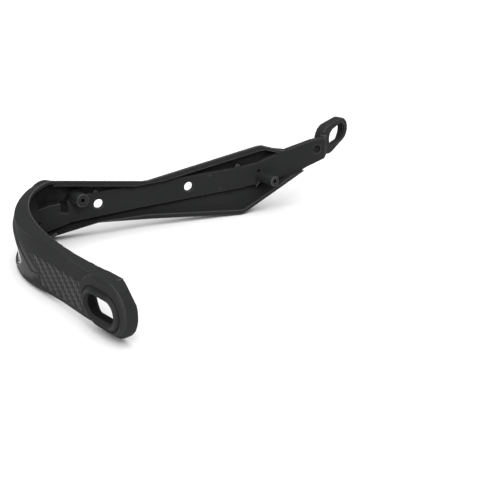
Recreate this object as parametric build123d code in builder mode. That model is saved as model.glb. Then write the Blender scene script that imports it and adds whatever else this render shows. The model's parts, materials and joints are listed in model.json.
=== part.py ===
"""Motorcycle hand guard for the left end of the bar: one moulded shell in the shape of a U.

Millimetres. The origin is the middle of the bar-end slot on its seat. +X runs along the bar towards
the middle of the motorcycle, +Y points forwards and +Z up.
"""
import os
from build123d import *

# Wall of the moulding
wall = 2.6
rim = 2.4

# Bar-end pad and its slot
pad_length = 42.5
pad_height = 28.2
pad_along = -1.2
pad_up = 2.9
pad_front = 5.6
pad_edge = 1.0
skirt_length = 41.8
skirt_height = 34.3
skirt_up = 1.05
skirt_depth = 3.6
facet_from = 10.0
facet_turn = 52.0
facet_lean = 35.0
lip_front = 7.0
lip_length = 33.0
lip_height = 19.6
lip_edge = 1.2
groove_width = 1.6
groove_depth = 0.9
slot_length = 25.0
slot_height = 11.6
slot_flare = 1.7

# Plan of the inner top edge, from the pad round to the inner end
arm_edge = 1.7
arm_straight = 40.0
arm_radius = 190.0
arm_turn = 18.4
bend_radius = 58.0
bend_turn = 47.6
corner_radius = 9.0
wing_heading = -14.3
corner_turn = 90 - arm_turn - bend_turn - wing_heading
hump_at = 29.0
waist_at = 64.0
low_corner_at = 131.6
top_corner_at = 149.0
tail_reach = 60.0
tail_low = 10.8
tail_high = 18.0
notch_reach = 14.6
notch_up = 24.0
wing_length = 197.0

# Heights of the top rim and of the bottom edge
pad_top = 17.3
arm_top = 17.8
knee_top = 21.4
bend_top = 25.2
waist_top = 15.6
corner_top = 29.2
pad_bottom = -12.6
arm_bottom = -13.8
floor = -17.0
bend_bottom = -15.5
root_bottom = -12.5
hump_bottom = -8.4
waist_bottom = -11.8

# How far the outer skin stands out from the inner top edge, and where it creases
arm_shoulder = 2.8
knee_shoulder = 8.2
turn_shoulder = 8.4
bend_shoulder = 11.2
wing_shoulder = 6.4
arm_face = 4.4
knee_face = 9.4
bend_face = 11.6
waist_face = 9.2
tail_face = 8.8
arm_drop = 1.6
knee_drop = 4.6
bend_drop = 4.4
corner_drop = 1.2
wing_drop = 2.0
arm_crease = 7.6
knee_crease = 9.5
bend_crease = 12.0
wing_crease = 10.0
tail_lean = -7.8
foot_inset = 1.4
foot_rise = 3.6
belly_lean = 2.0
belly_crease = 6.0
brow_lean = 4.0
pad_lip = 3.0
arm_lip = 2.0
knee_lip = 1.0

# Strap that carries the wing to the inner ear
strap_heading = -16.0
strap_point = (178.0, 102.5)
strap_depth = 7.0
strap_plate = 3.0
strap_web = 2.2
strap_edge = 0.7
tail_start = 28.0
tail_depth = 4.0
strap_hole_radius = 3.2
outer_hole = (-103.0, 3.4)
inner_hole = (-38.7, 6.4)
rivet_hole = (14.8, 10.6)
rivet_radius = 1.25
rivet_depth = 2.0
dimple_back = 8.8
dimple_up = 20.6
dimple_radius = 3.0
dimple_depth = 2.0
nub_radius = 1.8
outer_nub = (-104.6, 11.6)
inner_nub = (-1.8, 15.9)

# Side view of the strap, measured from its point: along it and up
ear_reach = 245.3
strap_start = -124.0
strap_start_low = -7.0
strap_start_high = 8.0
strap_top_out = (-110.0, 11.6)
strap_top_mid = (0.0, 15.6)
strap_top_bend = (14.0, 17.2)
strap_top_rise = (30.0, 22.0)
strap_top_knee_share = 0.675
strap_top_knee_up = 28.0
strap_end_high = 29.0
strap_end_low = 13.5
strap_low_knee_share = 0.463
strap_low_knee_up = 6.4
strap_low_rise = (29.0, 2.4)
strap_low_mid = (0.0, -0.6)
strap_low_out = (-74.0, -3.8)

# Shelf that carries the strap's face on round the inside of the bend, in the strap's side view
shelf_end = 22.5
shelf_end_low = -12.8
shelf_end_high = 4.6
shelf_low_bend = (-137.6, -10.6)
shelf_top_bend = (-135.5, 7.2)
shelf_top = 7.6
shelf_notch = 4.8
shelf_notch_low = 1.2
shelf_lap = 4.0
shelf_depth = 5.6
shelf_tip_depth = 1.0

# Screw boss at the bend and screw post on the strap, both along the riding direction
boss_tip = (64.3, 125.8, 10.4)
boss_length = 15.8
boss_radius = 4.5
boss_pilot = 1.5
post_tip = (193.0, 82.1, 6.5)
post_length = 17.6
post_radius = 3.6
post_pilot = 1.4
pilot_depth = 10.0
gusset_width = 1.4
gusset_gap = 2.2
gusset_reach = 8.0
gusset_length = 7.0
pin_hole = (40.3, 138.0, -4.2)
pin_depth = 5.2
pin_radius = 1.0

# Inner ear
ear_heading = 13.0
ear_setback = 3.9
ear_rise = 13.0
ear_tip = (25.0, 28.0)
ear_tip_radius = 8.9
ear_span = 16.0
ear_root_radius = 11.1
ear_depth = 7.6
ear_edge = 0.7
ear_slot_length = 22.0
ear_slot_height = 13.0
ear_slot_along = 19.4
ear_slot_up = 25.7
ear_slot_edge = 0.5
ear_plate = 2.6
ear_step = 1.2
knee_bevel = 2.8
knee_low = 14.2
knee_high = 29.8
knee_end = 5.0

# Shallow recesses in the outer skin of the arm and bend
panel_depth = 0.6
panel_start = 16.0
panel_land = 1.6
panel_low = -10.5
panel_high = 7.0
arrow_tip = (70.0, -4.2)
arrow_depth = 0.8
arrow_brow = (12.0, 5.4)
arrow_elbow = (26.0, 12.8)
arrow_end = (43.0, 21.2)
arrow_heel = (42.0, 18.7)
arrow_under = (27.0, 8.5)
arrow_throat = (17.0, 3.0)
arrow_barb = (10.0, -1.2)
leaf_depth = 1.8
leaf_tip = (94.0, -4.6)
leaf_length = 66.0
leaf_brow = (14.0, 4.3)
leaf_chin = (7.0, 2.8)
leaf_lip = (4.0, 5.0)
leaf_top_from = 30.0
leaf_low_from = 18.0
leaf_round = 2.2
leaf_low = -12.0
leaf_high = 10.5
leaf_end = 0.96


def blend(a, b, f):
    """Value a fraction f of the way from a to b."""
    return a + (b - a) * f


def across(edge, f):
    """Upright plane across a plan edge: x points out of the U, y points up."""
    t = edge % f
    p = edge @ f
    return Plane(origin=(p.X, p.Y, 0), x_dir=(-t.Y, t.X, 0), z_dir=(t.X, t.Y, 0))


def along(point, heading):
    """Upright plane along a heading: x runs along it, y points up, z points at the rider."""
    x = Vector(1, 0, 0).rotate(Axis.Z, heading)
    return Plane(origin=(*point, 0), x_dir=x, z_dir=x.cross(Vector(0, 0, 1)))


def skin(top, bottom, foot, drop, shoulder, face, crease, lean, lip, inset=0.0):
    """Outer side of a section, from the inner top edge down to the inner bottom edge."""
    return [
        (-lip, top - inset),
        (shoulder - inset, top - drop - inset),
        (face - inset, crease),
        (face + 0.7 * lean - inset, foot + foot_rise),
        (face + lean - foot_inset - inset, foot + inset),
        (lean, bottom + inset),
    ]


def hollow(top, bottom, foot, drop, shoulder, face, crease, lean, lip, reach=0.0):
    """Inner side of a section, from the bottom rim up to the top rim."""
    deep = face - wall
    belly = 0.4 + belly_lean * (face - arm_face) / (bend_face - arm_face)
    return [
        (lean - reach, bottom + rim),
        (deep + 0.7 * lean - belly, foot + foot_rise),
        (deep + 0.2 * lean, min(belly_crease, crease - 1)),
        (shoulder - min(brow_lean, 0.4 * shoulder), top - drop - rim),
        (-lip - reach, top - rim),
    ]


def core(depth):
    """Outer form of the arm and bend set in by a depth: what a shallow recess leaves standing."""
    with BuildPart() as form:
        for plane, sizes in arm_stations:
            with BuildSketch(plane):
                Polygon(*skin(*sizes, inset=depth), align=None)
        loft()
    return form.part


def facing_rider(tip):
    """Plane at a screw tip: x along the bar, z towards the rider."""
    return Plane(origin=tip, x_dir=(1, 0, 0), z_dir=(0, -1, 0))


# Plan of the inner top edge
with BuildLine() as plan:
    arm_line = Line((arm_edge, 0), (arm_edge, arm_straight))
    knee_arc = JernArc(arm_line @ 1, arm_line % 1, arm_radius, -arm_turn)
    bend_arc = JernArc(knee_arc @ 1, knee_arc % 1, bend_radius, -bend_turn)
    corner_arc = JernArc(bend_arc @ 1, bend_arc % 1, corner_radius, -corner_turn)
    wing_line = PolarLine(corner_arc @ 1, wing_length, wing_heading)

# Sections: top, bottom, foot, drop, shoulder, face, crease, lean, lip
pad_section = (pad_top, pad_bottom, pad_bottom, arm_drop, arm_shoulder, arm_face, arm_crease, 0, pad_lip)
arm_section = (arm_top, arm_bottom, arm_bottom, arm_drop, arm_shoulder, arm_face, arm_crease, 0, arm_lip)
knee_section = (knee_top, floor, floor, knee_drop, knee_shoulder, knee_face, knee_crease, 0, knee_lip)
bend_section = (bend_top, bend_bottom, floor, bend_drop, bend_shoulder, bend_face, bend_crease, 0, 0)
root_section = (bend_top, root_bottom, floor, wing_drop, wing_shoulder, bend_face, bend_crease, 0, 0)
waist_crease = waist_top / 2
waist_section = (waist_top, waist_bottom, waist_bottom, wing_drop, wing_shoulder, waist_face, waist_crease, 0, 0)
hump_f = hump_at / waist_at
hump_top = blend(bend_top, waist_top, hump_f)
hump_face = blend(bend_face, waist_face, hump_f)
hump_foot = hump_bottom - foot_rise
hump_section = (hump_top, hump_bottom, hump_foot, wing_drop, wing_shoulder, hump_face, wing_crease, 0, 0)
rise_section = [blend(a, b, 0.36) for a, b in zip(arm_section, knee_section)]
turn_section = [blend(a, b, 0.6) for a, b in zip(knee_section, bend_section)]
turn_section[4] = turn_shoulder
slew_section = [blend(a, b, 0.5) for a, b in zip(bend_section, root_section)]
slew_section[3] = corner_drop
low_f = (low_corner_at - waist_at) / (top_corner_at - waist_at)
low_top = blend(waist_top, corner_top, low_f)
low_section = (low_top, floor, floor, wing_drop, wing_shoulder, tail_face, wing_crease, tail_lean, 0)
top_section = (corner_top, floor, floor, wing_drop, wing_shoulder, tail_face, wing_crease, tail_lean, 0)
arm_stations = [
    (across(arm_line, 0.1), pad_section),
    (across(arm_line, 1), arm_section),
    (across(knee_arc, 0.5), rise_section),
    (across(knee_arc, 1), knee_section),
    (across(bend_arc, 0.5), turn_section),
    (across(bend_arc, 1), bend_section),
]
corner_stations = [
    (across(bend_arc, 1), bend_section),
    (across(corner_arc, 0.5), slew_section),
    (across(corner_arc, 1), root_section),
]
wing_stations = [
    (across(wing_line, 0), root_section),
    (across(wing_line, hump_at / wing_length), hump_section),
    (across(wing_line, waist_at / wing_length), waist_section),
    (across(wing_line, low_corner_at / wing_length), low_section),
    (across(wing_line, top_corner_at / wing_length), top_section),
    (across(wing_line, 1), top_section),
]
low_corner = across(wing_line, low_corner_at / wing_length).from_local_coords(Vector(tail_lean, floor, 0))
top_corner = across(wing_line, top_corner_at / wing_length).from_local_coords(Vector(0, corner_top, 0))
strap_plane = along(strap_point, strap_heading)
strap_end = (ear_reach - strap_point[0]) / strap_plane.x_dir.X
strap_top_knee = (
    strap_top_rise[0] + strap_top_knee_share * (strap_end - strap_top_rise[0]), strap_top_knee_up,
)
strap_low_knee = (
    strap_low_rise[0] + strap_low_knee_share * (strap_end - strap_low_rise[0]), strap_low_knee_up,
)
dimple = (strap_end - dimple_back, dimple_up)
ear_root = strap_plane.from_local_coords(Vector(strap_end, 0, 0))
ear_plane = along((ear_root.X, ear_root.Y), ear_heading).offset(-ear_setback)

# Side view of the wing's inner end: the lower edge climbs to the strap, the top edge drops to it
with BuildSketch(Plane.XZ) as end_view:
    Polygon(
        (0, -60), (low_corner.X, -60), (low_corner.X, floor), (low_corner.X + tail_reach, tail_low),
        (low_corner.X + tail_reach, tail_high), (top_corner.X + notch_reach, notch_up), (top_corner.X, corner_top),
        (top_corner.X, 60), (0, 60), align=None,
    )

with BuildSketch(Plane.XZ) as end_space:
    add(end_view.sketch_local)
    offset(amount=-rim, mode=Mode.REPLACE)

# Wing, trimmed to its side view
with BuildPart() as wing_form:
    for plane, sizes in wing_stations:
        with BuildSketch(plane):
            Polygon(*skin(*sizes), align=None)
    loft(ruled=True)
    extrude(end_view.sketch, amount=200, both=True, mode=Mode.INTERSECT)

# Space inside the wing
with BuildPart() as wing_space:
    for plane, sizes in wing_stations:
        with BuildSketch(plane):
            Polygon(*hollow(*sizes, reach=20.0), align=None)
    loft(ruled=True)
    extrude(end_space.sketch, amount=200, both=True, mode=Mode.INTERSECT)

# Strap: a deep box behind the wing, thinning to a plate at its inner end
with BuildSketch(strap_plane) as strap_view:
    Polygon(
        (strap_start, strap_start_low), strap_low_out, strap_low_mid, strap_low_rise, strap_low_knee,
        (strap_end, strap_end_low), (strap_end, strap_end_high), strap_top_knee, strap_top_rise,
        strap_top_bend, strap_top_mid, strap_top_out, (strap_start, strap_start_high), align=None,
    )

with BuildSketch(strap_plane) as box_view:
    add(strap_view.sketch_local)
    split(bisect_by=Plane.YZ.offset(tail_start), keep=Keep.BOTTOM)

with BuildPart() as strap_form:
    extrude(strap_view.sketch, amount=-tail_depth)
    end_edges = strap_form.edges().filter_by(Axis.Z).group_by(Axis(strap_plane.origin, strap_plane.x_dir))[-1]
    chamfer(end_edges.sort_by(Axis(strap_plane.origin, strap_plane.z_dir))[-1], length=knee_bevel)
    extrude(box_view.sketch, amount=-strap_depth)
    chamfer(strap_form.faces().sort_by(Axis(strap_plane.origin, strap_plane.z_dir))[-1].edges(), length=strap_edge)
    with BuildSketch(strap_plane.offset(-strap_plate)):
        add(box_view.sketch_local)
        offset(amount=-strap_web, mode=Mode.REPLACE)
    extrude(amount=-strap_depth, mode=Mode.SUBTRACT)

# Shelf: the strap's face carried on to the inner wall of the bend, thin at its outer tip
shelf_tip = strap_start - shelf_end
with BuildPart() as shelf_form:
    with BuildSketch(Plane.XY.offset(2 * floor)):
        Polygon(
            strap_plane.from_local_coords(Vector(shelf_tip, 0, 0)),
            strap_plane.from_local_coords(Vector(strap_start + shelf_lap, 0, 0)),
            strap_plane.from_local_coords(Vector(strap_start + shelf_lap, 0, -shelf_depth)),
            strap_plane.from_local_coords(Vector(strap_start - shelf_end / 2, 0, -shelf_depth)),
            strap_plane.from_local_coords(Vector(shelf_tip, 0, -shelf_tip_depth)),
            align=None,
        )
    extrude(amount=-4 * floor)
    with BuildSketch(strap_plane):
        Polygon(
            (shelf_tip, shelf_end_low), shelf_low_bend, (strap_start, strap_start_low),
            (strap_start + shelf_lap, strap_start_low + rim), (strap_start + shelf_lap, 0), (strap_start, 0),
            (strap_start - shelf_notch, shelf_notch_low), (strap_start - shelf_notch, shelf_top),
            shelf_top_bend, (shelf_tip, shelf_end_high), align=None,
        )
    extrude(amount=50, both=True, mode=Mode.INTERSECT)

# Woven panel on the arm, between the crease and the foot, cut off by the arrow groove
with BuildPart() as panel_cut:
    with BuildSketch(Plane.YZ):
        Polygon(
            (panel_start, panel_low), (arrow_tip[0] - panel_land, panel_low),
            (arrow_tip[0] - panel_land, arrow_tip[1]), (arrow_tip[0] + 11, panel_high),
            (panel_start, panel_high), align=None,
        )
        with Locations((pad_along, pad_up)):
            SlotOverall(pad_length + 4, pad_height + 4, mode=Mode.SUBTRACT)
    extrude(amount=60, both=True)
    add(core(panel_depth), mode=Mode.SUBTRACT)

# Arrow groove climbing from the arm to the top of the bend
with BuildPart() as arrow_cut:
    with BuildSketch(Plane.YZ):
        with Locations(arrow_tip):
            Polygon(
                (0, 0), arrow_brow, arrow_elbow, arrow_end, arrow_heel, arrow_under, arrow_throat,
                arrow_barb, align=None,
            )
    extrude(amount=60, both=True)
    add(core(arrow_depth), mode=Mode.SUBTRACT)

# Leaf-shaped recess round the outside of the bend
with BuildPart() as leaf_cut:
    with BuildSketch(Plane.YZ) as leaf_view:
        Polygon(
            (leaf_tip[0] + leaf_length, leaf_low), (leaf_tip[0] + leaf_low_from, leaf_low),
            (leaf_tip[0] + leaf_chin[0], leaf_low + leaf_chin[1]), leaf_tip,
            (leaf_tip[0] + leaf_lip[0], leaf_tip[1] + leaf_lip[1]),
            (leaf_tip[0] + leaf_brow[0], leaf_high - leaf_brow[1]),
            (leaf_tip[0] + leaf_top_from, leaf_high), (leaf_tip[0] + leaf_length, leaf_high), align=None,
        )
        fillet(leaf_view.vertices().sort_by(Axis.X)[0], radius=leaf_round)
    extrude(amount=60, both=True)
    add(core(leaf_depth), mode=Mode.SUBTRACT)
    split(bisect_by=across(bend_arc, leaf_end), keep=Keep.BOTTOM)

# Bar-end pad: a skirt, a bevelled front, a flat across its upper outer corner, a groove and a raised lip
facet_normal = Vector(0, 0, 1).rotate(Axis.X, facet_turn).rotate(Axis.Z, facet_lean)
with BuildPart() as pad_form:
    with BuildSketch(Plane.YZ.offset(-pad_front)):
        with Locations((pad_along, pad_up)):
            SlotOverall(pad_length, pad_height)
    with BuildSketch(Plane.YZ):
        with Locations((pad_along, skirt_up)):
            SlotOverall(skirt_length, skirt_height)
    loft()
    chamfer(pad_form.faces().sort_by(Axis.X)[0].edges(), length=pad_edge)
    with BuildSketch(Plane.YZ):
        with Locations((pad_along, skirt_up)):
            SlotOverall(skirt_length, skirt_height)
        with Locations((0, skirt_up)):
            Rectangle(facet_from, skirt_height / 2, align=(Align.MAX, Align.MIN))
    extrude(amount=skirt_depth)
    split(
        bisect_by=Plane(origin=(skirt_depth, -facet_from, skirt_up + skirt_height / 2), z_dir=facet_normal),
        keep=Keep.BOTTOM,
    )
    with BuildSketch(Plane.YZ.offset(-pad_front)):
        SlotOverall(lip_length + 2 * groove_width, lip_height + 2 * groove_width)
    extrude(amount=groove_depth, mode=Mode.SUBTRACT)
    with BuildSketch(Plane.YZ.offset(-lip_front)):
        SlotOverall(lip_length, lip_height)
    extrude(amount=lip_front)
    chamfer(pad_form.faces().sort_by(Axis.X)[0].edges(), length=lip_edge)

# Inner ear: a long ring turned back from the end of the strap
with BuildPart() as ear_form:
    with BuildSketch(ear_plane):
        with Locations(ear_tip):
            Circle(ear_tip_radius)
        with Locations(Vector(*ear_tip) - Vector(ear_span, 0).rotate(Axis.Z, ear_rise)):
            Circle(ear_root_radius)
        make_hull()
    extrude(amount=-ear_depth)
    chamfer(ear_form.faces().sort_by(Axis(ear_plane.origin, ear_plane.z_dir))[-1].edges(), length=ear_edge)
    chamfer(ear_form.faces().sort_by(Axis(ear_plane.origin, ear_plane.z_dir))[0].edges(), length=ear_edge)

# Knee between the strap and the ear, seen from above
with BuildPart() as knee_form:
    with BuildSketch(Plane.XY.offset(knee_low)):
        Polygon(
            strap_plane.from_local_coords(Vector(strap_end - knee_bevel, 0, 0)),
            strap_plane.from_local_coords(Vector(strap_end, 0, -knee_bevel)),
            ear_plane.from_local_coords(Vector(knee_end, 0, 0)),
            ear_plane.from_local_coords(Vector(knee_end, 0, -ear_depth)),
            strap_plane.from_local_coords(Vector(strap_end - tail_depth, 0, -tail_depth)),
            align=None,
        )
    extrude(amount=knee_high - knee_low)

with BuildPart() as guard_body:
    for plane, sizes in arm_stations:
        with BuildSketch(plane):
            Polygon(*skin(*sizes), *hollow(*sizes), align=None)
    loft()
    for plane, sizes in corner_stations:
        with BuildSketch(plane):
            Polygon(*skin(*sizes), *hollow(*sizes), align=None)
    loft()
    add(wing_form.part)
    add(wing_space.part, mode=Mode.SUBTRACT)

    # Strap: cleared in front, hollow behind
    extrude(strap_view.sketch, amount=30, mode=Mode.SUBTRACT)
    with BuildSketch(strap_plane.offset(-strap_plate)):
        add(box_view.sketch_local)
        offset(amount=-strap_web, mode=Mode.REPLACE)
    extrude(amount=-30, mode=Mode.SUBTRACT)
    add(strap_form.part)
    add(shelf_form.part)

    with BuildSketch(strap_plane):
        with Locations(outer_nub, inner_nub):
            Circle(nub_radius)
    extrude(amount=-strap_depth)

    # Screw boss and screw post, with two gussets at the foot of the post
    with BuildSketch(facing_rider(boss_tip)):
        Circle(boss_radius)
    extrude(amount=-boss_length)
    with BuildSketch(facing_rider(post_tip)):
        Circle(post_radius)
    extrude(amount=-post_length)
    for side in (-gusset_gap, gusset_gap):
        with BuildSketch(Plane.YZ.offset(post_tip[0] + side)):
            with Locations((post_tip[1] + post_length, post_tip[2])):
                Polygon((0, 0), (-gusset_length, 0), (0, -gusset_reach), align=None)
        extrude(amount=gusset_width / 2, both=True)
    for tip, radius in ((boss_tip, boss_pilot), (post_tip, post_pilot)):
        with BuildSketch(facing_rider(tip)):
            Circle(radius)
        extrude(amount=-pilot_depth, mode=Mode.SUBTRACT)
    with BuildSketch(facing_rider(pin_hole)):
        Circle(pin_radius)
    extrude(amount=-pin_depth, mode=Mode.SUBTRACT)

    # Holes through the strap, the blind one by the post and the dimple near the strap's end
    with BuildSketch(strap_plane.offset(1)):
        with Locations(outer_hole, inner_hole):
            Circle(strap_hole_radius)
    extrude(amount=-strap_plate - 2, mode=Mode.SUBTRACT)
    with BuildSketch(strap_plane):
        with Locations(rivet_hole):
            Circle(rivet_radius)
    extrude(amount=-rivet_depth, mode=Mode.SUBTRACT)
    with BuildSketch(strap_plane):
        with Locations(dimple):
            Circle(dimple_radius)
    extrude(amount=-dimple_depth, mode=Mode.SUBTRACT)

    # Inner ear and its slot
    add(knee_form.part)
    add(ear_form.part)
    with BuildSketch(ear_plane.offset(1)):
        with Locations((ear_slot_along, ear_slot_up)):
            SlotOverall(ear_slot_length, ear_slot_height, rotation=ear_rise)
    extrude(amount=-ear_depth - 2, mode=Mode.SUBTRACT)
    with BuildSketch(ear_plane):
        with Locations((ear_slot_along, ear_slot_up)):
            SlotOverall(ear_slot_length + 2 * ear_slot_edge, ear_slot_height + 2 * ear_slot_edge, rotation=ear_rise)
    extrude(amount=-ear_slot_edge, taper=45, mode=Mode.SUBTRACT)
    with BuildSketch(ear_plane.offset(-ear_plate)):
        with Locations((ear_slot_along, ear_slot_up)):
            SlotOverall(ear_slot_length + 2 * ear_step, ear_slot_height + 2 * ear_step, rotation=ear_rise)
    extrude(amount=-ear_depth, mode=Mode.SUBTRACT)

    # Shallow recesses in the outer skin
    add(panel_cut.part, mode=Mode.SUBTRACT)
    add(arrow_cut.part, mode=Mode.SUBTRACT)
    add(leaf_cut.part, mode=Mode.SUBTRACT)

    # Bar-end pad, with its seat in a skirt at the back and the slot right through
    add(pad_form.part)
    with BuildSketch(Plane.YZ):
        with Locations((pad_along, skirt_up)):
            SlotOverall(skirt_length - 2 * wall, skirt_height - 2 * wall)
    extrude(amount=skirt_depth + 1, mode=Mode.SUBTRACT)
    with BuildSketch(Plane.YZ.offset(-lip_front - 1)):
        SlotOverall(slot_length, slot_height)
    extrude(amount=lip_front + 2, mode=Mode.SUBTRACT)
    with BuildSketch(Plane.YZ.offset(-lip_front)):
        SlotOverall(slot_length + 2 * slot_flare, slot_height + 2 * slot_flare)
    extrude(amount=slot_flare, taper=45, mode=Mode.SUBTRACT)

os.makedirs("parts", exist_ok=True)
guard_body.part.label = "guard_body"
export_step(guard_body.part, "parts/guard_body.step")
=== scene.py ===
"""Looks of the motorcycle hand guard: the moulded shell with its softened edges, the woven panel
on the arm, the studio floor, the lights and the camera. Metres, in the frame of the CAD model.
"""
import json
from math import cos, floor, hypot, radians, sin

import bpy
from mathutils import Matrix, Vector
from mathutils.bvhtree import BVHTree

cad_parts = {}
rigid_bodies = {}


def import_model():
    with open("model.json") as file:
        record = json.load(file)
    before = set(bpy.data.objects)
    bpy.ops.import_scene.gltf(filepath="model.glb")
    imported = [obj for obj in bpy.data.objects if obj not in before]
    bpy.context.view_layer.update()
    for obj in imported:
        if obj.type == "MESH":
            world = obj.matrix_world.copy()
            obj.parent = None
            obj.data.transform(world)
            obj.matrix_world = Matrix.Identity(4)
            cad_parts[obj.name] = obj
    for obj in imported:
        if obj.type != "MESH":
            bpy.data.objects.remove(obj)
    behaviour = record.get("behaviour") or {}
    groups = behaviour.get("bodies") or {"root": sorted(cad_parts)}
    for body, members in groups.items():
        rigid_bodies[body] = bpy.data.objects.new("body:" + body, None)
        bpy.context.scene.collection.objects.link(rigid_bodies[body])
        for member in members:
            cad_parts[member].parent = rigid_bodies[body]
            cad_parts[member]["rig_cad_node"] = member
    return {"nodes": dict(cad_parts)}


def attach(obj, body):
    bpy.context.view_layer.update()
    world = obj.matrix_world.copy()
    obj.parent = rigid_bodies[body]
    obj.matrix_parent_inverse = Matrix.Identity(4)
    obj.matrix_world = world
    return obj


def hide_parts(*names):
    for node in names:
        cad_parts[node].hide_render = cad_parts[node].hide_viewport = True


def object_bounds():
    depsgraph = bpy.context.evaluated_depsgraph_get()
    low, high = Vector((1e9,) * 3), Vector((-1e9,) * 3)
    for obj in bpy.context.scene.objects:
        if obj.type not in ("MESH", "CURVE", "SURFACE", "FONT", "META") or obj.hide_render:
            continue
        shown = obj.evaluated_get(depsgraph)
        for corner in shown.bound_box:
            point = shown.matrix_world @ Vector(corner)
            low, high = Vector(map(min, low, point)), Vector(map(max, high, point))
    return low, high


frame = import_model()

cad_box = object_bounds()
mm = 0.001


def outline(*points):
    """An outline seen along the bar, from points given in millimetres forwards and up."""
    return [(along * mm, up * mm) for along, up in points]


# Shell: how finely it is remeshed, how far its edges are rounded, and how its long edges are halved
merge_distance = 0.002 * mm
shell_voxel = 0.34 * mm
shell_smoothing = 10
smoothing_factor = 0.5
shell_triangles = 165000
long_edge = 3.2 * mm
halvings = 4

# Painted edge highlight: how often the bends are averaged, and where the tone starts and is full
edge_smoothing = 2
edge_from = 0.03
edge_full = 0.18

# Painted shade where rims overhead block the light
# Shelter: rays sent up and outwards from each point, as degrees of lift and how many lie side by
# side, the angle between those, and how far each looks for a rim overhead
shelter_rays = [(38, 3), (62, 3)]
shelter_turn = 50
shelter_reach = 45.0 * mm
shelter_start = 0.3 * mm

# Points that face up more than the first, or sideways less than the second, get no shelter
shelter_most_up = 0.6
shelter_least_out = 0.1

# Bar-end slot, whose inside gets painted shade
slot_front = -5.2 * mm
slot_half_straight = 6.7 * mm
slot_radius = 6.1 * mm

# Polish on the outer side of the bend, with a lighter colour painted as its reflection: full on
# the leaf, weaker and painted as a highlight on the arrow round the leaf's tip and the skin below
# it
leaf_outline = outline(
    (94.0, -4.6), (101.0, -9.2), (112.0, -12.0), (160.0, -12.0),
    (160.0, 10.5), (124.0, 10.5), (108.0, 6.2), (98.0, 0.4),
)
leaf_gloss_and_reflection = 1.0
arrow_outline = outline(
    (70.0, -4.2), (82.0, 1.2), (96.0, 8.6), (113.0, 17.0),
    (112.0, 14.5), (97.0, 4.3), (87.0, -1.2), (80.0, -5.4),
)
arrow_gloss_and_highlight = 0.22
cheek_outline = outline(
    (71.0, -5.0), (80.0, -5.8), (87.0, -1.6), (97.0, 3.9), (98.0, 0.4),
    (94.0, -4.6), (101.0, -9.2), (112.0, -12.2), (96.0, -12.8), (80.0, -10.5),
)
cheek_gloss_and_highlight = 0.2
polish_end = 62.0 * mm
polish_least_out = 0.2
hand_middle = Vector((130.0 * mm, 20.0 * mm, 0))

# Woven panel on the arm: its outline seen along the bar, and the pad that it keeps clear of
panel_grid_x = -20 * mm
panel_start = 16.0 * mm
panel_low = -10.3 * mm
panel_high = 6.8 * mm
panel_notch = (68.1 * mm, -4.2 * mm)
panel_end_low = 68.1 * mm
panel_end_high = 80.7 * mm
pad_middle = (-1.2 * mm, 2.9 * mm)
pad_half_straight = 7.15 * mm
pad_clear_radius = 15.9 * mm

# Twill moulded into the panel: two cells over and two under, and how its floats fall off
weave_cell = 2.05 * mm
weave_step = 0.27 * mm
weave_lift = 0.30 * mm
weave_relief = 0.20 * mm
weave_thickness = 0.60 * mm
twill_over = 2
twill_repeat = 4
float_side_drop = 0.8
float_end_drop = 0.9
float_end_power = 6

# Plastic: tones and roughness, each from low to high, and the tones that the marks bring in
shell_tones = ((0.0165, 0.0170, 0.0170), (0.0235, 0.0240, 0.0240))
shell_roughness = (0.58, 0.70)
# Painted highlight on the convex edges
edge_highlight_tone = (0.090, 0.090, 0.090)
# Painted reflection and highlight on the polished leaf, arrow and cheek
leaf_reflection_tone = (0.045, 0.045, 0.045)
# Painted shade under rims and inside the bar-end slot
painted_shade_tone = (0.003, 0.003, 0.003)
leaf_roughness = 0.28
coat_roughness = 0.22
# Painted sheen: upright floats lighter than level ones
weave_sheen_tones = ((0.006, 0.006, 0.006), (0.042, 0.042, 0.041))
weave_roughness = (0.34, 0.46)
specular_level = 0.07

# Grain of the mould: fine grain for the bump, clouds and blotches for the sheen
grain_scale = 2600.0
grain_strength = 0.12
grain_distance = 0.08 * mm
cloud_scale = 38.0
blotch_scale = 260.0
blotch_share = 0.35
sheen_from = 0.4
sheen_full = 0.95

# Colour sockets of a Mix node: the two inputs and the result
mix_under = 6
mix_over = 7
mix_result = 2

# Camera at the place and angle fitted to the photograph
camera_place = Vector((-0.2560, -0.4075, 0.2256))
camera_heading = 49.0
camera_pitch = 22.17
camera_lens = 72.0
camera_sensor = 36.0
camera_clip = 0.01

# Studio: a wide floor, a light tent given as height over the horizon and brightness, and a soft box
floor_size = 8.0
floor_gap = 0.05 * mm
floor_tone = (0.92, 0.92, 0.92, 1)
floor_roughness = 0.9
tent_strength = 2.4
tent_ramp = [(0.0, 0.10), (0.25, 0.12), (0.45, 0.21), (0.7, 0.45), (1.0, 1.0)]
front_light_place = Vector((-0.50, -0.65, 0.80))
front_light_aim = Vector((0.10, 0.08, 0.0))
front_light_size = 0.9
front_light_power = 6.5


def deselect():
    """Leaves nothing selected and no object in edit mode."""
    if bpy.context.object and bpy.context.object.mode != "OBJECT":
        bpy.ops.object.mode_set(mode="OBJECT")
    bpy.ops.object.select_all(action="DESELECT")


def pick(piece):
    """Makes a piece the only selected and the active one."""
    deselect()
    piece.hide_set(False)
    piece.select_set(True)
    bpy.context.view_layer.objects.active = piece


def clear_choice(piece, kind):
    """Picks a piece and leaves none of its points and edges selected, ready for one kind."""
    pick(piece)
    bpy.ops.object.mode_set(mode="EDIT")
    bpy.ops.mesh.select_mode(type=kind)
    bpy.ops.mesh.select_all(action="DESELECT")
    bpy.ops.object.mode_set(mode="OBJECT")


def modify(piece, kind, **settings):
    """Adds a modifier with its settings and applies it."""
    pick(piece)
    made = piece.modifiers.new(kind.lower(), kind)
    for name, value in settings.items():
        setattr(made, name, value)
    bpy.ops.object.modifier_apply(modifier=made.name)


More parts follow.
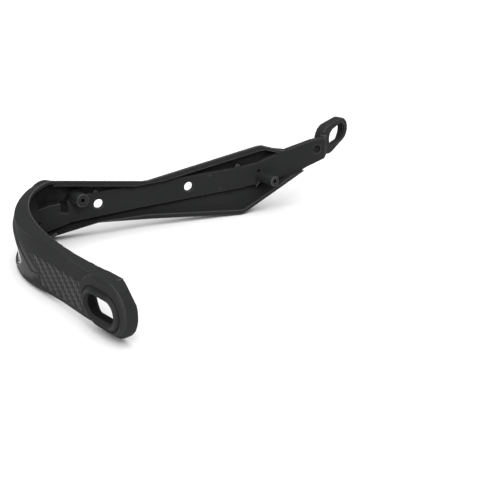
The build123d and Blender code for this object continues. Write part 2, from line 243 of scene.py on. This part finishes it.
def triangles(piece):
    """How many triangles a piece's mesh has."""
    return sum(len(face.vertices) - 2 for face in piece.data.polygons)


def dress(piece, finish):
    """Gives a piece its material and its place on the body."""
    piece.data.materials.clear()
    piece.data.materials.append(finish)
    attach(piece, "root")


def inside(corners, along, up):
    """Whether a point lies inside the outline through some corners."""
    found = False
    for (a0, u0), (a1, u1) in zip(corners, corners[1:] + corners[:1]):
        if (u0 > up) != (u1 > up) and along < a0 + (up - u0) / (u1 - u0) * (a1 - a0):
            found = not found
    return found


def make_shell():
    """The moulding with its edges softened as a mould leaves them."""
    node = frame["nodes"]["guard_body"]
    pick(node)
    bpy.ops.object.duplicate()
    shell = bpy.context.object
    shell.name = "guard_shell"
    shell.data.name = "guard_shell"
    del shell["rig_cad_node"]
    bpy.ops.object.mode_set(mode="EDIT")
    bpy.ops.mesh.select_all(action="SELECT")
    bpy.ops.mesh.remove_doubles(threshold=merge_distance)
    bpy.ops.object.mode_set(mode="OBJECT")
    modify(shell, "REMESH", mode="VOXEL", voxel_size=shell_voxel, adaptivity=0.0)
    modify(shell, "SHRINKWRAP", target=node, wrap_method="NEAREST_SURFACEPOINT")
    modify(shell, "SMOOTH", factor=smoothing_factor, iterations=shell_smoothing)
    share = min(1.0, shell_triangles / triangles(shell))
    modify(shell, "DECIMATE", decimate_type="COLLAPSE", ratio=share)
    for _ in range(halvings):
        split_long_edges(shell)
    pick(shell)
    bpy.ops.object.shade_smooth()
    mark_polish(shell)
    mark_edge_highlights(shell)
    mark_painted_shade(shell)
    return shell


def split_long_edges(shell):
    """Halves the long edges on the flats, so that the marks made on points stay local."""
    clear_choice(shell, "EDGE")
    points = shell.data.vertices
    for edge in shell.data.edges:
        a, b = edge.vertices
        edge.select = (points[a].co - points[b].co).length > long_edge
    bpy.ops.object.mode_set(mode="EDIT")
    bpy.ops.mesh.subdivide(number_cuts=1)
    bpy.ops.mesh.select_all(action="SELECT")
    bpy.ops.mesh.quads_convert_to_tris()
    bpy.ops.object.mode_set(mode="OBJECT")


def mark_polish(shell):
    """Marks how polished each point is on the outer side of the bend, and how much painted
    reflection.
    """
    areas = (
        (leaf_outline, leaf_gloss_and_reflection), (arrow_outline, arrow_gloss_and_highlight), (cheek_outline, cheek_gloss_and_highlight),
    )
    mask = shell.data.attributes.new("leaf", "FLOAT", "POINT")
    for point, value in zip(shell.data.vertices, mask.data):
        outwards = point.co - hand_middle
        outwards.z = 0
        faces_out = point.normal.dot(outwards.normalized()) > polish_least_out
        if point.co.x >= polish_end or not faces_out:
            continue
        for area, gloss in areas:
            if inside(area, point.co.y, point.co.z):
                value.value = gloss
                break


def mark_edge_highlights(shell):
    """Marks how sharply the shell bends outwards at each point, for the highlight painted on its
    edges.
    """
    points = shell.data.vertices
    pairs = [tuple(edge.vertices) for edge in shell.data.edges]
    bends = [0.0] * len(points)
    counts = [0] * len(points)
    for a, b in pairs:
        step = (points[a].co - points[b].co).normalized()
        bends[a] += points[a].normal.dot(step)
        bends[b] -= points[b].normal.dot(step)
        counts[a] += 1
        counts[b] += 1
    bends = [bend / max(count, 1) for bend, count in zip(bends, counts)]
    for _ in range(edge_smoothing):
        sums = [bend * count for bend, count in zip(bends, counts)]
        for a, b in pairs:
            sums[a] += bends[b]
            sums[b] += bends[a]
        bends = [total / max(2 * count, 1) for total, count in zip(sums, counts)]
    mask = shell.data.attributes.new("edge", "FLOAT", "POINT")
    for value, bend in zip(mask.data, bends):
        value.value = min(max((bend - edge_from) / (edge_full - edge_from), 0.0), 1.0)


def mark_painted_shade(shell):
    """Marks painted shade: how far rims overhead shelter each point, and the inside of the bar-end
    slot.
    """
    places = [point.co for point in shell.data.vertices]
    tree = BVHTree.FromPolygons(places, [face.vertices for face in shell.data.polygons])
    mask = shell.data.attributes.new("painted_shade", "FLOAT", "POINT")
    for point, value in zip(shell.data.vertices, mask.data):
        off = max(abs(point.co.y) - slot_half_straight, 0)
        in_slot = point.co.x > slot_front and hypot(off, point.co.z) < slot_radius
        value.value = 1.0 if in_slot else shelter(tree, point)


def shelter(tree, point):
    """How far a point is sheltered: 0 if half of its rays or fewer are blocked, 1 if all are."""
    outwards = Vector((point.normal.x, point.normal.y, 0))
    if point.normal.z > shelter_most_up or outwards.length < shelter_least_out:
        return 0.0
    outwards.normalize()
    aside = Vector((-outwards.y, outwards.x, 0))
    start = point.co + shelter_start * point.normal
    blocked = count = 0
    for lift, spread in shelter_rays:
        for turn in range(-(spread // 2), spread // 2 + 1):
            angle = radians(shelter_turn * turn)
            level = outwards * cos(angle) + aside * sin(angle)
            ray = level * cos(radians(lift)) + Vector((0, 0, sin(radians(lift))))
            count += 1
            blocked += tree.ray_cast(start, ray, shelter_reach)[0] is not None
    return max(2 * blocked / count - 1, 0)


def float_crown(across, along):
    """Height of one float of the twill, from its crown at 1 down to its edges."""
    return (1 - float_side_drop * across ** 2) * (1 - float_end_drop * along ** float_end_power)


def twill(along, up):
    """Height of the twill at a place, and whether an upright float lies on top there."""
    a = along / weave_cell
    u = up / weave_cell
    column = floor(a)
    row = floor(u)
    phase = (column - row) % twill_repeat
    if phase < twill_over:
        middle = row + (1 if phase == 1 else 0)
        return float_crown(2 * (a - column) - 1, u - middle), 1.0
    middle = column + (1 if phase == twill_over else 0)
    return float_crown(2 * (u - row) - 1, a - middle), 0.0


def make_woven_panel():
    """Thin moulded twill lying in the panel's recess."""
    node = frame["nodes"]["guard_body"]
    length = panel_end_high - panel_start
    height = panel_high - panel_low
    middle = (panel_start + length / 2, panel_low + height / 2)
    deselect()
    bpy.ops.mesh.primitive_grid_add(
        x_subdivisions=round(height / weave_step), y_subdivisions=round(length / weave_step),
        size=1, location=(panel_grid_x, *middle), rotation=(0, radians(-90), 0),
    )
    bpy.ops.transform.resize(value=(1, length, height))
    bpy.ops.object.transform_apply(location=True, rotation=True, scale=True)
    panel = bpy.context.object
    panel.name = "woven_panel"
    panel.data.name = "woven_panel"
    trim_panel(panel)
    modify(
        panel, "SHRINKWRAP", target=node, wrap_method="PROJECT",
        use_project_x=True, use_project_y=False, use_project_z=False,
        use_negative_direction=False, use_positive_direction=True,
    )
    raise_twill(panel)
    modify(panel, "SOLIDIFY", thickness=weave_thickness, offset=-1.0)
    pick(panel)
    bpy.ops.object.shade_smooth()
    return panel


def pad_distance(along, up):
    """Distance of a place from the middle line of the bar-end pad."""
    off = max(abs(along - pad_middle[0]) - pad_half_straight, 0)
    return hypot(off, up - pad_middle[1])


def panel_reach(up):
    """How far along the arm the panel reaches at a height."""
    above = up > panel_notch[1]
    end = (panel_end_high, panel_high) if above else (panel_end_low, panel_low)
    share = (up - panel_notch[1]) / (end[1] - panel_notch[1])
    return panel_notch[0] + share * (end[0] - panel_notch[0])


def trim_panel(panel):
    """Cuts the panel round along the pad and to the two edges that meet at the arrow's tip."""
    hidden = []
    for point in panel.data.vertices:
        reach = pad_distance(point.co.y, point.co.z)
        over = point.co.y - panel_reach(point.co.z)
        if reach < pad_clear_radius - weave_step or over > weave_step:
            hidden.append(point.index)
        elif reach < pad_clear_radius:
            centre = Vector((point.co.x, pad_middle[0] + pad_half_straight, pad_middle[1]))
            point.co = centre + (point.co - centre).normalized() * pad_clear_radius
        elif over > 0:
            point.co.y -= over
    clear_choice(panel, "VERT")
    for index in hidden:
        panel.data.vertices[index].select = True
    bpy.ops.object.mode_set(mode="EDIT")
    bpy.ops.mesh.delete(type="VERT")
    bpy.ops.object.mode_set(mode="OBJECT")


def raise_twill(panel):
    """Lifts the panel's points into the floats of the twill."""
    upright = panel.data.attributes.new("upright", "FLOAT", "POINT")
    for point, value in zip(panel.data.vertices, upright.data):
        height, value.value = twill(point.co.y, point.co.z)
        point.co.x -= weave_lift + weave_relief * height


def add_node(tree, kind, **values):
    """Adds a node and sets its own values and its inputs by name."""
    made = tree.nodes.new(kind)
    for name, value in values.items():
        if name in made.bl_rna.properties:
            setattr(made, name, value)
        else:
            made.inputs[name.replace("_", " ")].default_value = value
    return made


def make_grain_group():
    """Fine grain and cloudy sheen of a textured mould: a height, a roughness and a tone."""
    group = bpy.data.node_groups.new("mould_grain", "ShaderNodeTree")
    link = group.links.new
    for name in ("Low Roughness", "High Roughness"):
        group.interface.new_socket(name, in_out="INPUT", socket_type="NodeSocketFloat")
    for name in ("Height", "Roughness", "Tone"):
        group.interface.new_socket(name, in_out="OUTPUT", socket_type="NodeSocketFloat")
    given = group.nodes.new("NodeGroupInput")
    put = group.nodes.new("NodeGroupOutput")
    place = group.nodes.new("ShaderNodeTexCoord")
    noise = "ShaderNodeTexNoise"
    grain = add_node(group, noise, Scale=grain_scale, Detail=2.0, Roughness=0.5)
    cloud = add_node(group, noise, Scale=cloud_scale, Detail=4.0, Roughness=0.6)
    blotch = add_node(group, noise, Scale=blotch_scale, Detail=3.0, Roughness=0.55)
    for texture in (grain, cloud, blotch):
        link(place.outputs["Object"], texture.inputs["Vector"])
    mixed = add_node(group, "ShaderNodeMath", operation="MULTIPLY_ADD")
    mixed.inputs[1].default_value = blotch_share
    link(blotch.outputs["Fac"], mixed.inputs[0])
    link(cloud.outputs["Fac"], mixed.inputs[2])
    sheen = add_node(group, "ShaderNodeMapRange", From_Min=sheen_from, From_Max=sheen_full)
    link(mixed.outputs["Value"], sheen.inputs["Value"])
    link(given.outputs["Low Roughness"], sheen.inputs["To Min"])
    link(given.outputs["High Roughness"], sheen.inputs["To Max"])
    link(grain.outputs["Fac"], put.inputs["Height"])
    link(sheen.outputs["Result"], put.inputs["Roughness"])
    link(cloud.outputs["Fac"], put.inputs["Tone"])
    return group


def new_finish(name):
    """A new material with little mirror gloss, with its node tree and its shader."""
    finish = bpy.data.materials.new(name)
    finish.use_nodes = True
    shader = finish.node_tree.nodes["Principled BSDF"]
    shader.inputs["Specular IOR Level"].default_value = specular_level
    return finish, finish.node_tree, shader


def add_grain(tree, shader, grain_group, roughness):
    """Adds the grain to a finish, with its range of roughness, and links its bump."""
    grain = add_node(tree, "ShaderNodeGroup", node_tree=grain_group)
    low, high = roughness
    grain.inputs["Low Roughness"].default_value = low
    grain.inputs["High Roughness"].default_value = high
    bump = add_node(tree, "ShaderNodeBump", Strength=grain_strength, Distance=grain_distance)
    tree.links.new(grain.outputs["Height"], bump.inputs["Height"])
    tree.links.new(bump.outputs["Normal"], shader.inputs["Normal"])
    return grain


def read_mark(tree, name):
    """One of the marks made on a mesh's points."""
    return add_node(tree, "ShaderNodeAttribute", attribute_name=name).outputs["Fac"]


def mix_tone(tree, factor, under, over):
    """Colour that goes from one tone to another. The first is a colour or comes from a node."""
    mix = add_node(tree, "ShaderNodeMix", data_type="RGBA")
    if isinstance(under, tuple):
        mix.inputs[mix_under].default_value = (*under, 1)
    else:
        tree.links.new(under, mix.inputs[mix_under])
    mix.inputs[mix_over].default_value = (*over, 1)
    tree.links.new(factor, mix.inputs["Factor"])
    return mix.outputs[mix_result]


def make_shell_finish(grain_group):
    """Satin black moulded plastic, polished on the leaf, with a painted highlight at its edges, a
    painted reflection on the leaf and painted shade under rims and in the bar-end slot.
    """
    finish, tree, shader = new_finish("satin_black_moulding")
    grain = add_grain(tree, shader, grain_group, shell_roughness)
    leaf = read_mark(tree, "leaf")
    polished = add_node(tree, "ShaderNodeMix", data_type="FLOAT")
    polished.inputs["B"].default_value = leaf_roughness
    tree.links.new(leaf, polished.inputs["Factor"])
    tree.links.new(grain.outputs["Roughness"], polished.inputs["A"])
    tree.links.new(polished.outputs["Result"], shader.inputs["Roughness"])
    tone = mix_tone(tree, grain.outputs["Tone"], *shell_tones)
    # Painted highlight on the convex edges
    tone = mix_tone(tree, read_mark(tree, "edge"), tone, edge_highlight_tone)
    # Painted reflection and highlight where the leaf mark is set
    tone = mix_tone(tree, leaf, tone, leaf_reflection_tone)
    # Painted shade under rims and inside the bar-end slot
    tone = mix_tone(tree, read_mark(tree, "painted_shade"), tone, painted_shade_tone)
    tree.links.new(tone, shader.inputs["Base Color"])
    shader.inputs["Coat Roughness"].default_value = coat_roughness
    tree.links.new(leaf, shader.inputs["Coat Weight"])
    return finish


def make_weave_finish(grain_group):
    """The same plastic on the twill, with a lighter tone painted on the upright floats as their
    sheen.
    """
    finish, tree, shader = new_finish("woven_black_moulding")
    grain = add_grain(tree, shader, grain_group, weave_roughness)
    tree.links.new(grain.outputs["Roughness"], shader.inputs["Roughness"])
    # Painted sheen on the upright floats
    tone = mix_tone(tree, read_mark(tree, "upright"), *weave_sheen_tones)
    tree.links.new(tone, shader.inputs["Base Color"])
    return finish


def make_floor():
    """Plain white studio floor under the guard."""
    deselect()
    place = (0, 0, cad_box[0].z - floor_gap)
    bpy.ops.mesh.primitive_plane_add(size=floor_size, location=place)
    ground = bpy.context.object
    ground.name = "studio_floor"
    finish, _, shader = new_finish("studio_white")
    shader.inputs["Base Color"].default_value = floor_tone
    shader.inputs["Roughness"].default_value = floor_roughness
    ground.data.materials.append(finish)


def make_studio():
    """White overhead light that fades towards the horizon, as in a light tent. The camera sees
    plain white behind the floor.
    """
    scene = bpy.context.scene
    world = bpy.data.worlds.new("light_tent")
    world.use_nodes = True
    tree = world.node_tree
    tent = tree.nodes["Background"]
    place = tree.nodes.new("ShaderNodeTexCoord")
    split = tree.nodes.new("ShaderNodeSeparateXYZ")
    ramp = tree.nodes.new("ShaderNodeValToRGB")
    tree.links.new(place.outputs["Generated"], split.inputs["Vector"])
    tree.links.new(split.outputs["Z"], ramp.inputs["Fac"])
    tree.links.new(ramp.outputs["Color"], tent.inputs["Color"])
    while len(ramp.color_ramp.elements) < len(tent_ramp):
        ramp.color_ramp.elements.new(1.0)
    for step, (height, level) in zip(ramp.color_ramp.elements, tent_ramp):
        step.position = height
        step.color = (level, level, level, 1)
    tent.inputs["Strength"].default_value = tent_strength
    paper = add_node(tree, "ShaderNodeBackground", Color=(1, 1, 1, 1))
    rays = tree.nodes.new("ShaderNodeLightPath")
    choice = tree.nodes.new("ShaderNodeMixShader")
    tree.links.new(rays.outputs["Is Camera Ray"], choice.inputs["Fac"])
    tree.links.new(tent.outputs["Background"], choice.inputs[1])
    tree.links.new(paper.outputs["Background"], choice.inputs[2])
    tree.links.new(choice.outputs["Shader"], tree.nodes["World Output"].inputs["Surface"])
    scene.world = world
    scene.view_settings.view_transform = "Standard"


def make_front_light():
    """Large soft box above and behind the camera."""
    deselect()
    bpy.ops.object.light_add(type="AREA", location=front_light_place)
    light = bpy.context.object
    light.name = "front_softbox"
    light.data.shape = "DISK"
    light.data.size = front_light_size
    light.data.energy = front_light_power
    towards = front_light_aim - front_light_place
    light.rotation_euler = towards.to_track_quat("-Z", "Y").to_euler()


def make_camera():
    """Camera at the photograph's place and angle."""
    data = bpy.data.cameras.new("photo_camera")
    data.sensor_width = camera_sensor
    data.lens = camera_lens
    data.clip_start = camera_clip
    camera = bpy.data.objects.new("photo_camera", data)
    bpy.context.scene.collection.objects.link(camera)
    camera.location = camera_place
    camera.rotation_euler = (radians(90 - camera_pitch), 0, radians(camera_heading - 90))
    bpy.context.scene.camera = camera


grain_group = make_grain_group()
shell = make_shell()
dress(shell, make_shell_finish(grain_group))
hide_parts("guard_body")
panel = make_woven_panel()
dress(panel, make_weave_finish(grain_group))
make_floor()
make_studio()
make_front_light()
make_camera()
